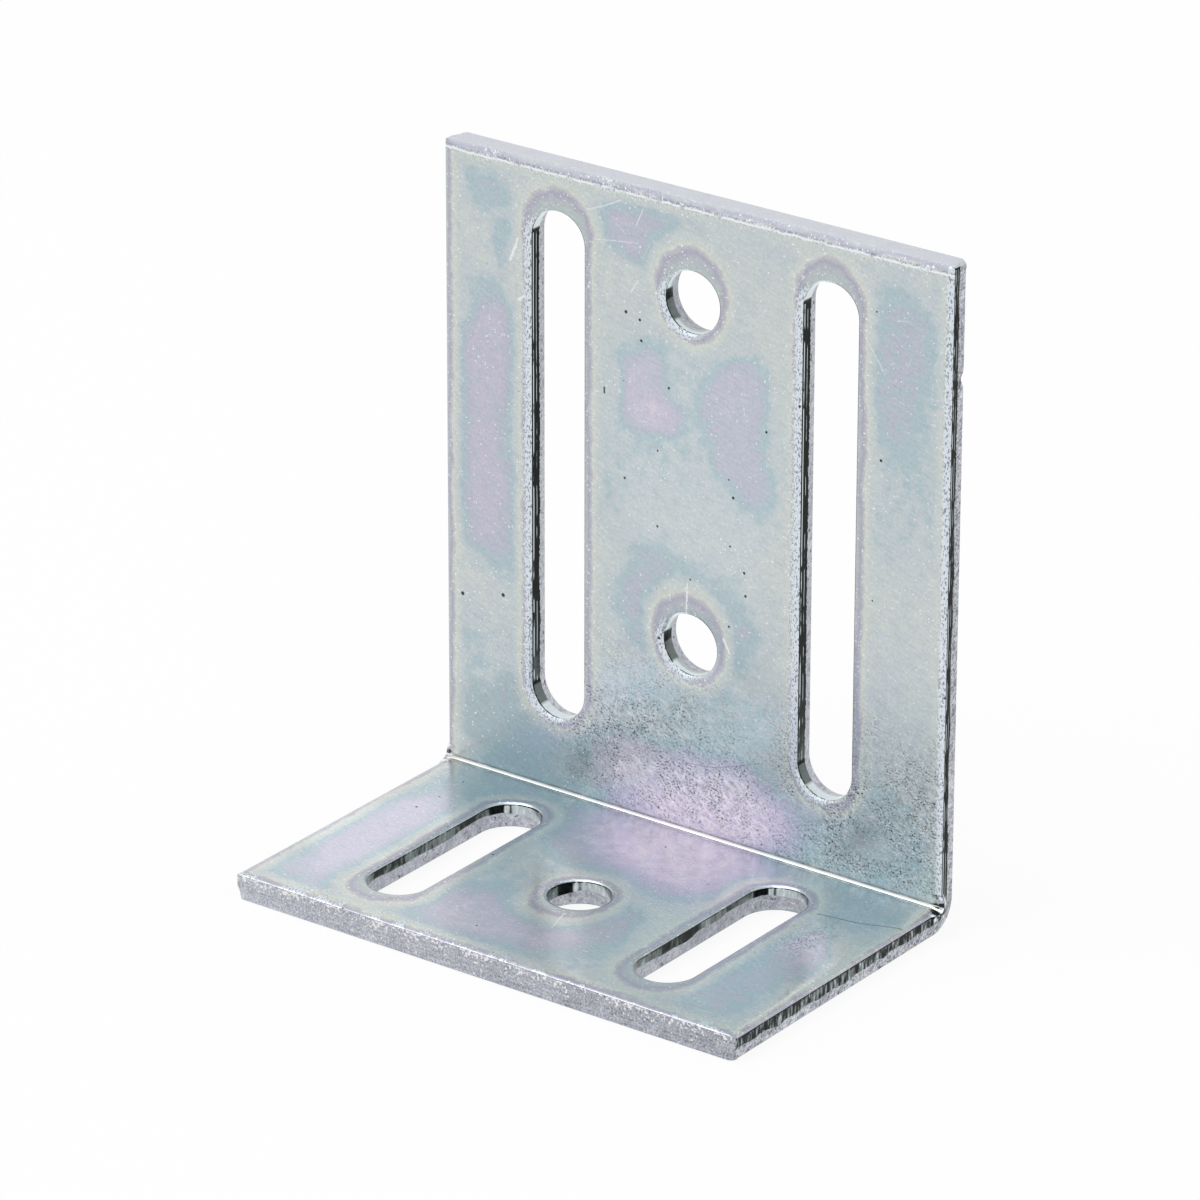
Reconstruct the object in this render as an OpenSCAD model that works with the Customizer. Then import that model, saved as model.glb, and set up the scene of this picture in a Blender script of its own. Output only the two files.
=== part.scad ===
// Adjustable angle bracket: one punched and folded piece of zinc-plated steel sheet.
// Two round holes set the tall leg and two long slots let it move; the short leg has the same in small.
// The sheet was punched from its inside face, so every edge starts with a rounded-over rim there,
// runs straight through a smooth band and ends in a torn band that leans away to the outside face.
// X runs along the bend, the short leg points to -Y and the tall leg stands up along +Z.

/* [Overall] */
// Width of the sheet, along the bend
width = 65; // [54:1:100]
// Height of the tall leg, from the ground to its top edge
tall_h = 75; // [60:1:120]
// Length of the short leg, from the outside of the tall leg to its free edge
short_l = 40; // [36:1:70]
// Thickness of the steel sheet
sheet_t = 3; // [2.5:0.25:4]

/* [Bend] */
// Radius on the inside of the bend
bend_r = 0.4; // [0.3:0.1:1]
// How far the squeezed metal stands out at each end of the crease
ear_out = 0.45; // [0.3:0.05:0.6]
// How far into the side edges the squeezed metal reaches from the crease
ear_reach = 1.6; // [1.2:0.1:1.8]

/* [Slots] */
// Width of every slot
slot_w = 7; // [5:0.5:8]
// Metal left between a slot and the side edge
slot_side = 11.5; // [7:0.5:12]
// Height of the lower end of the tall leg's slots above the ground
tall_slot_low = 11.5; // [8:0.5:20]
// Metal left above the tall leg's slots
tall_slot_top = 5; // [4:0.5:12]
// Distance from the outside of the tall leg to the short leg's slots
short_slot_bend = 8; // [7:0.5:11]
// Metal left between the short leg's slots and its free edge
short_slot_edge = 5.5; // [4:0.5:9]

/* [Round holes] */
// Diameter of every round hole
hole_d = 7; // [4.5:0.1:7.5]
// Height of the tall leg's lower hole above the ground
hole_low = 24.75; // [12:0.25:30]
// Distance from the top edge down to the tall leg's upper hole
hole_drop = 11.25; // [8:0.25:18]
// Distance from the free edge to the short leg's hole
short_hole_edge = 17.4; // [10:0.1:20]

/* [Punched edges] */
// Width of the rounded-over rim along the outline
roll_w = 1; // [0.5:0.1:1.5]
// Depth of that rim
roll_d = 0.35; // [0.2:0.05:0.5]
// Width of the rounded-over rim around the holes and slots
rim_w = 0.4; // [0.3:0.05:0.8]
// Depth of that rim
rim_d = 0.16; // [0.12:0.02:0.4]
// Share of the sheet thickness down to which an edge is smooth and straight
smooth_share = 0.52; // [0.4:0.02:0.7]
// How far the torn band of a hole or slot opens out
hole_flare = 0.35; // [0.1:0.05:0.5]
// How far the torn band of a side edge leans in
side_lean = 0.35; // [0.1:0.05:0.5]

/* [Hidden] */
$fn = 96;
// Run-out of the cutters past the faces they cut
over = 2;
// Slope of a rounded-over rim where it leaves the flat face, as a share of the rim's width
start = 0.3;
// Overlap of pieces that are joined, so that none of them only touch
lap = 0.1;
// Depth of the smooth band's end below the inside face
smooth_d = sheet_t * smooth_share;
// Planes and axes of the fold
back_y = short_l / 2;
free_y = -short_l / 2;
inside_y = back_y - sheet_t;
axis_y = inside_y - bend_r;
axis_z = sheet_t + bend_r;
side_x = width / 2;
slot_r = slot_w / 2;
hole_r = hole_d / 2;
slot_x = side_x - slot_side - slot_r;
// Slot end centres
tall_slot_z0 = tall_slot_low + slot_r;
tall_slot_z1 = tall_h - tall_slot_top - slot_r;
short_slot_y0 = free_y + short_slot_edge + slot_r;
short_slot_y1 = back_y - short_slot_bend - slot_r;
// Sphere that gives the squeezed metal at the ends of the crease its low dome
ear_r = (pow(ear_reach, 2) + pow(ear_out, 2)) / (2 * ear_out);
ear_slab = roll_w + lap;
ear_sink = 0.02;

// Height of the centre of the rim's arc below the flat face
function arc_down(w, d) = (w * w + 2 * w * start * w + d * d) / (2 * d);
// Radius of the rim's arc
function arc_r(w, d) = sqrt(pow(arc_down(w, d), 2) + pow(start * w, 2));

// What a rounded-over rim takes off a square corner: the metal lies at x < 0, y > 0
module corner_loss(w, d) {
  difference() {
    translate([-w, -over]) square([w + over, over + d + lap]);
    translate([-w - start * w, arc_down(w, d)]) circle(r = arc_r(w, d));
  }
}

// Cross-section of the sheet across its width: inside face at y = 0, outside face at y = sheet_t
module strip_section() {
  difference() {
    polygon([[-side_x, 0], [side_x, 0], [side_x, smooth_d], [side_x - side_lean, sheet_t],
             [side_lean - side_x, sheet_t], [-side_x, smooth_d]]);
    translate([side_x, 0]) corner_loss(roll_w, roll_d);
    translate([-side_x, 0]) mirror([1, 0]) corner_loss(roll_w, roll_d);
  }
}

// One half of the opening a punch leaves: x is the distance from the middle, y the depth in the sheet
module punch_half(r) {
  slope = hole_flare / (sheet_t - smooth_d);
  difference() {
    translate([r / 2, -over]) square([r / 2 + rim_w, over + rim_d + lap]);
    translate([r + rim_w + start * rim_w, arc_down(rim_w, rim_d)]) circle(r = arc_r(rim_w, rim_d));
  }
  polygon([[0, -over], [r, -over], [r, smooth_d], [r + slope * (sheet_t + over - smooth_d), sheet_t + over],
           [0, sheet_t + over]]);
}

// Round opening along +Z, inside face at z = 0
module round_punch(r) {
  rotate_extrude() punch_half(r);
}

// Slotted opening along +Z between two end centres on the Y axis, inside face at z = 0
module slot_punch(r, y0, y1) {
  translate([0, y1, 0]) rotate([0, 0, 90]) rotate_extrude() punch_half(r);
  translate([0, y0, 0]) rotate([0, 0, -90]) rotate_extrude() punch_half(r);
  translate([0, y1, 0]) rotate([90, 0, 0]) linear_extrude(height = y1 - y0) {
    punch_half(r);
    mirror([1, 0]) punch_half(r);
  }
}

// Turns a punch so that it enters the tall leg's inside face, with its Y axis upwards
module into_tall_leg(x, z) {
  translate([x, inside_y, z]) mirror([0, 1, 0]) rotate([90, 0, 0]) children();
}

// Turns a punch so that it enters the short leg's inside face
module into_short_leg(x, y) {
  translate([x, y, sheet_t]) mirror([0, 0, 1]) children();
}

// The strip folded once: upright length, quarter bend and flat length
module folded_strip() {
  translate([0, inside_y, axis_z]) linear_extrude(height = tall_h - axis_z) strip_section();
  translate([0, axis_y, axis_z]) rotate([-90, 0, 90]) rotate_extrude(angle = 90)
    translate([bend_r, 0]) mirror([1, 0]) rotate(90) strip_section();
  translate([0, axis_y, sheet_t]) rotate([90, 0, 0]) linear_extrude(height = axis_y - free_y)
    mirror([0, 1]) strip_section();
}

// Rounded-over rims of the two cut ends
module end_rims() {
  translate([-side_x - over, inside_y, tall_h]) rotate([90, 0, 90]) linear_extrude(height = width + 2 * over)
    rotate(90) mirror([0, 1]) corner_loss(roll_w, roll_d);
  translate([-side_x - over, free_y, sheet_t]) rotate([90, 0, 90]) linear_extrude(height = width + 2 * over)
    rotate(180) corner_loss(roll_w, roll_d);
}

// L shape of the fold just under its inside faces, for a slab at one end of the crease
module fold_slab() {
  reach = 2 * ear_reach;
  translate([side_x - ear_slab, 0, 0]) rotate([90, 0, 90]) linear_extrude(height = ear_slab + over)
    difference() {
      translate([inside_y - reach, sheet_t - reach]) square(2 * reach);
      translate([inside_y - reach - over, sheet_t - ear_sink]) square([reach + over + ear_sink, reach + over]);
    }
}

// Metal squeezed out sideways at one end of the crease, as a low dome on the edge
module bend_ear() {
  intersection() {
    fold_slab();
    translate([side_x + ear_out - ear_r, inside_y, sheet_t]) rotate([0, 0, 150]) sphere(r = ear_r);
  }
}

module bracket() {
  color([0.70, 0.74, 0.78]) {
    difference() {
      folded_strip();
      end_rims();
      into_tall_leg(-slot_x, 0) slot_punch(slot_r, tall_slot_z0, tall_slot_z1);
      into_tall_leg(slot_x, 0) slot_punch(slot_r, tall_slot_z0, tall_slot_z1);
      into_tall_leg(0, hole_low) round_punch(hole_r);
      into_tall_leg(0, tall_h - hole_drop) round_punch(hole_r);
      into_short_leg(-slot_x, 0) slot_punch(slot_r, short_slot_y0, short_slot_y1);
      into_short_leg(slot_x, 0) slot_punch(slot_r, short_slot_y0, short_slot_y1);
      into_short_leg(0, free_y + short_hole_edge) round_punch(hole_r);
    }
    bend_ear();
    mirror([1, 0, 0]) bend_ear();
  }
}

bracket();
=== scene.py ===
"""Looks of the adjustable angle bracket: one punched, folded, zinc-plated sheet in a pale studio."""

import logging
import math
from dataclasses import dataclass, field
from enum import Enum
from typing import Optional, Sequence, Union

import bpy
import numpy as np
from mathutils import Matrix, Vector
from mathutils.geometry import delaunay_2d_cdt


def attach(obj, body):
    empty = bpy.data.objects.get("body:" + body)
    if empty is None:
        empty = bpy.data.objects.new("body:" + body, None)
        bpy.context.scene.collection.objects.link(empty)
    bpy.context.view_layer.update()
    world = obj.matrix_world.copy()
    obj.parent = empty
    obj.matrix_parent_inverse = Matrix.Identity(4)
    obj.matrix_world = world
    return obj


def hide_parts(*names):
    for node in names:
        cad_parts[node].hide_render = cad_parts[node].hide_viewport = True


log = logging.getLogger("angle_bracket")

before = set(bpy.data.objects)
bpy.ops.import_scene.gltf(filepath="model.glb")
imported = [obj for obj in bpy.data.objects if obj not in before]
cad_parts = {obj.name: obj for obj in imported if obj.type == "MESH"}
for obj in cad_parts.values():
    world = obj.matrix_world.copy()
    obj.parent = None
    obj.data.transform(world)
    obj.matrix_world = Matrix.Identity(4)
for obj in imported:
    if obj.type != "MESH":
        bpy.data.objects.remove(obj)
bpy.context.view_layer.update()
MM = 0.001

Triple = tuple[float, float, float]
Colour = tuple[float, float, float, float]
Socket = bpy.types.NodeSocket
Value = Union[Socket, float]
Number = Union[np.ndarray, float]


def linear(red: int, green: int, blue: int) -> Colour:
    """Turns a display colour into the linear colour a shader takes.

    Args:
        red: Red from 0 to 255.
        green: Green from 0 to 255.
        blue: Blue from 0 to 255.

    Returns:
        Linear red, green and blue, with full alpha.
    """
    out = []
    for part in (red, green, blue):
        x = part / 255
        out.append(x / 12.92 if x <= 0.04045 else ((x + 0.055) / 1.055) ** 2.4)
    return out[0], out[1], out[2], 1.0


def fade(far: np.ndarray, reach: float) -> np.ndarray:
    """Falls from 1 close to an edge to 0 a little past the reach."""
    return np.clip((1.35 * reach - far) / (0.7 * reach), 0, 1)


def repeated(row: Sequence[float], count: int) -> np.ndarray:
    """Stacks one row that many times."""
    return np.tile(np.asarray(row, float), (count, 1))


def along_ring(points: np.ndarray) -> np.ndarray:
    """Gives how far along a closed ring each of its points lies."""
    gap = np.linalg.norm(np.roll(points, -1, 0) - points, axis=1)
    return np.concatenate([[0], np.cumsum(gap)[:-1]])


class CutBand(Enum):
    """Bands of the sheet's skin, numbered as the material slots are."""

    FACE = 0
    SMOOTH = 1
    TORN = 2


class Grain:
    """Seeded smooth noise over a plane, for shapes and for the run of the plating's colour."""

    cells = 128

    def __init__(self, seed: int) -> None:
        """Fills the lattice from a seed."""
        self.lattice = np.random.default_rng(seed).random((self.cells, self.cells))

    def _at(self, i: np.ndarray, j: np.ndarray) -> np.ndarray:
        """Reads the lattice, which repeats."""
        return self.lattice[i % self.cells, j % self.cells]

    def plain(self, x: np.ndarray, y: np.ndarray, size: float) -> np.ndarray:
        """Gives one layer of noise.

        Args:
            x: First coordinates, in mm.
            y: Second coordinates, in mm.
            size: Width of one lattice cell, in mm.

        Returns:
            Values from -1 to 1.
        """
        px, py = np.asarray(x) / size + 37.31, np.asarray(y) / size + 11.77
        ix, iy = np.floor(px).astype(int), np.floor(py).astype(int)
        fx, fy = px - ix, py - iy
        fx, fy = fx * fx * (3 - 2 * fx), fy * fy * (3 - 2 * fy)
        low = self._at(ix, iy) * (1 - fx) + self._at(ix + 1, iy) * fx
        high = self._at(ix, iy + 1) * (1 - fx) + self._at(ix + 1, iy + 1) * fx
        return 2 * (low * (1 - fy) + high * fy) - 1

    def layered(self, x: np.ndarray, y: np.ndarray, size: float, layers: int = 3) -> np.ndarray:
        """Sums layers of noise, each half as wide and half as strong as the one before.

        Args:
            x: First coordinates, in mm.
            y: Second coordinates, in mm.
            size: Width of the first layer's cell, in mm.
            layers: How many layers.

        Returns:
            Values from about -1 to 1.
        """
        total, weight, share = 0.0, 0.0, 1.0
        for n in range(layers):
            total = total + share * self.plain(x + 17.3 * n, y - 9.1 * n, size / 2**n)
            weight, share = weight + share, share / 2
        return total / weight


@dataclass(frozen=True)
class Fold:
    """Folds the flat strip: u runs across it, s along it from the bend, d down from the face. In mm."""

    width: float = 65.0
    tall_h: float = 75.0
    short_l: float = 40.0
    sheet_t: float = 3.0
    bend_r: float = 0.4
    half_zone: float = 1.5

    @property
    def back_y(self) -> float:
        """Gives where the outside of the tall leg lies, as far back as the free edge lies in front."""
        return self.short_l / 2

    @property
    def axis_y(self) -> float:
        """Gives where the bend's axis lies."""
        return self.back_y - self.sheet_t - self.bend_r

    @property
    def axis_z(self) -> float:
        """Gives how high the bend's axis lies."""
        return self.sheet_t + self.bend_r

    def tall_s(self, z: float) -> float:
        """Gives the place along the strip of a height on the tall leg."""
        return z - self.axis_z + self.half_zone

    def short_s(self, y: float) -> float:
        """Gives the place along the strip of a place on the short leg."""
        return y - self.axis_y - self.half_zone

    def place(self, u: np.ndarray, s: np.ndarray, d: np.ndarray) -> np.ndarray:
        """Takes points of the flat strip to the folded bracket.

        Args:
            u: Places across the width.
            s: Places along the strip, positive on the tall leg.
            d: Depths below the inside face.

        Returns:
            An array of x, y, z rows in mm.
        """
        h = self.half_zone
        turn = np.clip((s + h) / (2 * h), 0, 1) * math.pi / 2
        y = self.axis_y + (self.bend_r + d) * np.sin(turn) + np.minimum(s + h, 0)
        z = self.axis_z - (self.bend_r + d) * np.cos(turn) + np.maximum(s - h, 0)
        return np.stack([u, y, z], 1)


@dataclass(frozen=True)
class Rim:
    """Rounded-over rim of a cut edge: how far it reaches onto the face and how deep it drops, in mm."""

    reach: float
    drop: float
    start: float = 0.3

    def depth(self, offset: float) -> float:
        """Gives the rim's depth below the face.

        Args:
            offset: Distance in from the edge.

        Returns:
            The depth there.
        """
        w, d = self.reach, self.drop
        down = (w * w + 2 * w * self.start * w + d * d) / (2 * d)
        radius = math.hypot(down, self.start * w)
        return down - math.sqrt(max(radius**2 - ((1 + self.start) * w - offset) ** 2, 0))


@dataclass
class Loop:
    """One ring of points round a cut edge, with what the cut needs to know at each point."""

    points: np.ndarray
    into: np.ndarray
    run: np.ndarray
    end: np.ndarray


@dataclass(frozen=True)
class Opening:
    """A punched hole or slot in the flat strip, between two end centres, in mm."""

    u: float
    s0: float
    s1: float
    r: float
    rim: Rim = Rim(0.4, 0.16)
    lean: float = 0.35
    step: float = 0.2

    def ring(self) -> Loop:
        """Lays the nominal edge out as points.

        Returns:
            The ring, with unit vectors into the metal.
        """
        n_arc = max(int(round(math.pi * self.r / self.step)), 20)
        n_run = int(round((self.s1 - self.s0) / self.step))
        turn = np.linspace(0, math.pi, n_arc, endpoint=n_run > 0)
        up = np.stack([np.cos(turn), np.sin(turn)], 1)
        rows, into = [up * self.r + (self.u, self.s1)], [up]
        if n_run:
            side = np.linspace(self.s1, self.s0, n_run + 1)[1:-1]
            rows.append(np.stack([np.full(len(side), self.u - self.r), side], 1))
            into.append(repeated((-1, 0), len(side)))
        rows.append(-up * self.r + (self.u, self.s0))
        into.append(-up)
        if n_run:
            rows.append(np.stack([np.full(len(side), self.u + self.r), side[::-1]], 1))
            into.append(repeated((1, 0), len(side)))
        points = np.vstack(rows)
        return Loop(points, np.vstack(into), along_ring(points), np.zeros(len(points)))

    def shifted(self, ring: Loop, offset: np.ndarray) -> np.ndarray:
        """Moves the ring's points into the metal by an offset for each."""
        return ring.points + ring.into * offset[:, None]

    def distance(self, u: np.ndarray, s: np.ndarray) -> np.ndarray:
        """Gives how far points lie from the opening's edge, positive in the metal."""
        return np.hypot(u - self.u, s - np.clip(s, self.s0, self.s1)) - self.r


@dataclass(frozen=True)
class Outline:
    """Outer edge of the flat strip, in mm."""

    half_w: float
    s_free: float
    s_top: float
    corner_r: float = 0.35
    corner_grow: float = 0.8
    rim: Rim = Rim(1.0, 0.35)
    lean: float = 0.35
    step: float = 0.3
    bend_step: float = 0.12
    bend_reach: float = 2.4
    corner_points: int = 7
    end_reach: float = 4.0

    def _run(self) -> np.ndarray:
        """Lays out the points of a long side, closer together through the bend.

        Returns:
            Their places along the strip.
        """
        a, b, k = self.s_free + self.corner_r, self.s_top - self.corner_r, self.bend_reach
        parts = [
            np.linspace(a, -k, int(round((-k - a) / self.step)), endpoint=False),
            np.linspace(-k, k, int(round(2 * k / self.bend_step)), endpoint=False),
            np.linspace(k, b, int(round((b - k) / self.step)) + 1),
        ]
        return np.concatenate(parts)

    def ring(self) -> Loop:
        """Lays the nominal edge out as points, against the clock from the lower right corner.

        Returns:
            The ring, with unit vectors into the metal.
        """
        points = self.shifted(None, np.zeros(1))
        n_long, n_short = len(self._run()), self._short_count()
        turns = []
        for quarter in (0, 1, 2, -1):
            a = (quarter + np.linspace(0, 1, self.corner_points + 2)[1:-1]) * math.pi / 2
            turns.append(np.stack([-np.cos(a), -np.sin(a)], 1))
        into = np.vstack([
            repeated((-1, 0), n_long), turns[0], repeated((0, -1), n_short), turns[1],
            repeated((1, 0), n_long), turns[2], repeated((0, 1), n_short), turns[3],
        ])
        return Loop(points, into, along_ring(points), np.abs(into[:, 1]))

    def _short_count(self) -> int:
        """Gives the number of points along a cut end."""
        return int(round(2 * self.half_w / self.step)) + 1

    def shifted(self, ring: Optional[Loop], offset: np.ndarray) -> np.ndarray:
        """Draws the edge moved into the metal, with corners that open out as it moves in.

        Args:
            ring: The nominal ring, or nothing for a plain edge.
            offset: Offset of each point, or one for all of them.

        Returns:
            Rows of u, s.
        """
        base = float(np.median(offset))
        r = self.corner_r + self.corner_grow * max(base, 0)
        w, a, b = self.half_w - base, self.s_free + base, self.s_top - base
        run = self._run()
        near_a = np.clip(1 - (run - run[0]) / self.end_reach, 0, 1)
        near_b = np.clip(1 - (run[-1] - run) / self.end_reach, 0, 1)
        run = run + (a + r - run[0]) * near_a + (b - r - run[-1]) * near_b
        across = np.linspace(w - r, r - w, self._short_count())
        q = np.linspace(0, math.pi / 2, self.corner_points + 2)[1:-1]
        c, s = r * np.cos(q), r * np.sin(q)
        sides = [
            np.stack([np.full(len(run), w), run], 1),
            np.stack([w - r + c, b - r + s], 1),
            np.stack([across, np.full(len(across), b)], 1),
            np.stack([r - w - s, b - r + c], 1),
            np.stack([np.full(len(run), -w), run[::-1]], 1),
            np.stack([r - w - c, a + r - s], 1),
            np.stack([across[::-1], np.full(len(across), a)], 1),
            np.stack([w - r + s, a + r - c], 1),
        ]
        points = np.vstack(sides)
        if ring is not None:
            points = points + ring.into * (offset - base)[:, None]
        return points

    def distance(self, u: np.ndarray, s: np.ndarray) -> np.ndarray:
        """Gives how far points lie in from the edge."""
        return np.minimum(self.half_w - np.abs(u), np.minimum(s - self.s_free, self.s_top - s))


Edge = Union[Outline, Opening]


@dataclass(frozen=True)
class Mark:
    """A scratch or dark line on the inside face of the strip, or a pit where both ends meet. In mm."""

    u0: float
    s0: float
    u1: float
    s1: float
    wide: float

    @classmethod
    def pit(cls, u: float, s: float, wide: float) -> "Mark":
        """Makes a mark that is one round spot."""
        return cls(u, s, u, s, wide)


class Graph:
    """Lays out the nodes of one material."""

    def __init__(self, name: str) -> None:
        """Starts an empty material.

        Args:
            name: The material's name.
        """
        self.material = bpy.data.materials.new(name)
        self.material.use_nodes = True
        self.tree = self.material.node_tree
        self.tree.nodes.clear()

    def add(self, kind: str, inputs: Optional[dict] = None, **settings: object) -> bpy.types.Node:
        """Adds a node.

        Args:
            kind: The node's type.
            inputs: Sockets to link or values to set, by name or number.
            settings: The node's own settings.

        Returns:
            The node.
        """
        node = self.tree.nodes.new(kind)
        for key, value in settings.items():
            setattr(node, key, value)
        for key, value in (inputs or {}).items():
            if isinstance(value, Socket):
                self.tree.links.new(value, node.inputs[key])
            else:
                node.inputs[key].default_value = value
        return node

    def math(self, op: str, a: Value, b: Value = 0.0, clamp: bool = False) -> Socket:
        """Gives a op b."""
        return self.add("ShaderNodeMath", {0: a, 1: b}, operation=op, use_clamp=clamp).outputs[0]

    def times(self, a: Value, b: Value) -> Socket:
        """Gives a times b."""
        return self.math("MULTIPLY", a, b)

    def plus(self, a: Value, b: Value) -> Socket:
        """Gives a plus b."""
        return self.math("ADD", a, b)

    def minus(self, a: Value, b: Value) -> Socket:
        """Gives a minus b."""
        return self.math("SUBTRACT", a, b)

    def most(self, a: Value, b: Value) -> Socket:
        """Gives the larger of a and b."""
        return self.math("MAXIMUM", a, b)

    def ease(self, x: Value, low: float, high: float, start: Value = 0.0, stop: Value = 1.0) -> Socket:
        """Goes smoothly from start to stop while x goes from low to high."""
        names = {"Value": x, "From Min": low, "From Max": high, "To Min": start, "To Max": stop}
        return self.add("ShaderNodeMapRange", names, interpolation_type="SMOOTHSTEP").outputs[0]

    def layer(self, name: str) -> Socket:
        """Reads a number stored on the mesh."""
        return self.add("ShaderNodeAttribute", attribute_name=name).outputs["Fac"]

    def flat(self) -> Socket:
        """Reads the place on the flat strip, in mm."""
        return self.add("ShaderNodeAttribute", attribute_name="flat").outputs["Vector"]

    def vector(self, op: str, a: object, b: object = (0.0, 0.0, 0.0), out: str = "Vector") -> Socket:
        """Gives a op b for places and directions."""
        return self.add("ShaderNodeVectorMath", {0: a, 1: b}, operation=op).outputs[out]

    def axis(self, vector: Socket, n: int) -> Socket:
        """Reads one coordinate of a place: 0 across the strip, 1 along it, 2 its depth."""
        return self.add("ShaderNodeSeparateXYZ", {0: vector}).outputs[n]

    def stretched(self, vector: Socket, scale: Triple, turn: float = 0.0) -> Socket:
        """Turns a place about the face's normal and scales it."""
        turned = self.add("ShaderNodeVectorRotate", {"Vector": vector, "Angle": math.radians(turn)})
        return self.vector("MULTIPLY", turned.outputs[0], scale)

    def noise(self, vector: Socket, scale: float, detail: float = 3.0) -> Socket:
        """Gives noise from 0 to 1."""
        names = {"Vector": vector, "Scale": scale, "Detail": detail}
        return self.add("ShaderNodeTexNoise", names).outputs[0]

    def spread(self, noise: Value, amount: float) -> Socket:
        """Turns noise from 0 to 1 into a swing about 0 of that amount."""
        return self.times(self.minus(noise, 0.5), amount)

    def wobbled(self, vector: Socket, scale: float, reach: float) -> Socket:
        """Shifts a place about by noise, so that shapes laid there come out ragged.

        Args:
            vector: Place on the strip.
            scale: Cells of noise to a mm.
            reach: How far it shifts, in mm.

        Returns:
            The shifted place.
        """
        node = self.add("ShaderNodeTexNoise", {"Vector": vector, "Scale": scale, "Detail": 2.0})
        span = self.vector("SUBTRACT", node.outputs["Color"], (0.5, 0.5, 0.5))
        return self.vector("ADD", vector, self.vector("MULTIPLY", span, (reach,) * 3))

    def dots(self, vector: Socket, scale: float, size: float, share: Value) -> Socket:
        """Gives a mask of scattered dots of uneven size: 1 on a dot.

        Args:
            vector: Place on the strip.
            scale: Cells to a mm.
            size: Largest dot radius, in cells.
            share: Share of the cells that hold a dot.

        Returns:
            The mask.
        """
        node = self.add("ShaderNodeTexVoronoi", {"Vector": vector, "Scale": scale}, voronoi_dimensions="2D")
        pick = self.add("ShaderNodeSeparateColor", {0: node.outputs["Color"]})
        reach = self.times(self.plus(pick.outputs[1], 0.25), size / 1.25)
        disc = self.ease(self.math("DIVIDE", node.outputs["Distance"], reach), 0.5, 1.0, 1.0, 0.0)
        return self.times(disc, self.math("LESS_THAN", pick.outputs[0], share))

    def band(self, x: Value, a: float, b: float, c: float, d: float, share: Value) -> Socket:
        """Rises from a to b, falls from c to d and is weighed by a share."""
        return self.times(self.times(self.ease(x, a, b), self.ease(x, c, d, 1.0, 0.0)), share)

    def stroke(self, flat: Socket, mark: Mark) -> Socket:
        """Gives a mask of one mark on the face: 1 on the mark.

        Args:
            flat: Place on the strip, with no depth.
            mark: The mark.

        Returns:
            The mask.
        """
        along = (mark.u1 - mark.u0, mark.s1 - mark.s0, 0.0)
        span = along[0] ** 2 + along[1] ** 2
        here = self.vector("SUBTRACT", flat, (mark.u0, mark.s0, 0.0))
        if span > 0:
            share = self.math("DIVIDE", self.vector("DOT_PRODUCT", here, along, "Value"), span, clamp=True)
            foot = self.add("ShaderNodeVectorMath", {0: along, "Scale": share}, operation="SCALE")
            here = self.vector("SUBTRACT", here, foot.outputs[0])
        far = self.vector("LENGTH", here, out="Value")
        return self.ease(far, mark.wide * 0.7, mark.wide * 1.2, 1.0, 0.0)

    def ramp(self, x: Value, stops: Sequence[tuple[float, tuple]]) -> Socket:
        """Gives the colour at a place on a run of colours.

        Args:
            x: The place, from 0 to 1.
            stops: Places and their colours.

        Returns:
            The colour.
        """
        node = self.add("ShaderNodeValToRGB", {0: x})
        node.color_ramp.interpolation = "EASE"
        while len(node.color_ramp.elements) < len(stops):
            node.color_ramp.elements.new(0.5)
        for element, (place, colour) in zip(node.color_ramp.elements, stops):
            element.position, element.color = place, colour
        return node.outputs[0]

    def mix(self, share: Value, a: object, b: object, blend: str = "MIX") -> Socket:
        """Lays colour b over colour a by a share."""
        names = {0: share, 6: a, 7: b}
        return self.add("ShaderNodeMix", names, data_type="RGBA", blend_type=blend).outputs[2]

    def grey(self, x: Value) -> Socket:
        """Makes a grey of that value."""
        return self.add("ShaderNodeCombineColor", {0: x, 1: x, 2: x}).outputs[0]

    def bump(self, height: Value, depth_mm: float, strength: Value = 1.0) -> Socket:
        """Gives a normal that follows a height of that depth."""
        names = {"Height": height, "Distance": depth_mm * MM, "Strength": strength}
        return self.add("ShaderNodeBump", names).outputs[0]

    def metal(self, colour: Value, roughness: Value, normal: Value, metallic: float) -> bpy.types.Material:
        """Ends the material in a metal shader.

        Args:
            colour: Base colour socket.
            roughness: Roughness socket.
            normal: Normal socket.
            metallic: How metallic it is.

        Returns:
            The finished material.
        """
        shader = self.add("ShaderNodeBsdfPrincipled", {
            "Base Color": colour, "Roughness": roughness, "Normal": normal, "Metallic": metallic,
        })
        self.add("ShaderNodeOutputMaterial", {0: shader.outputs[0]})
        return self.material


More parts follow.
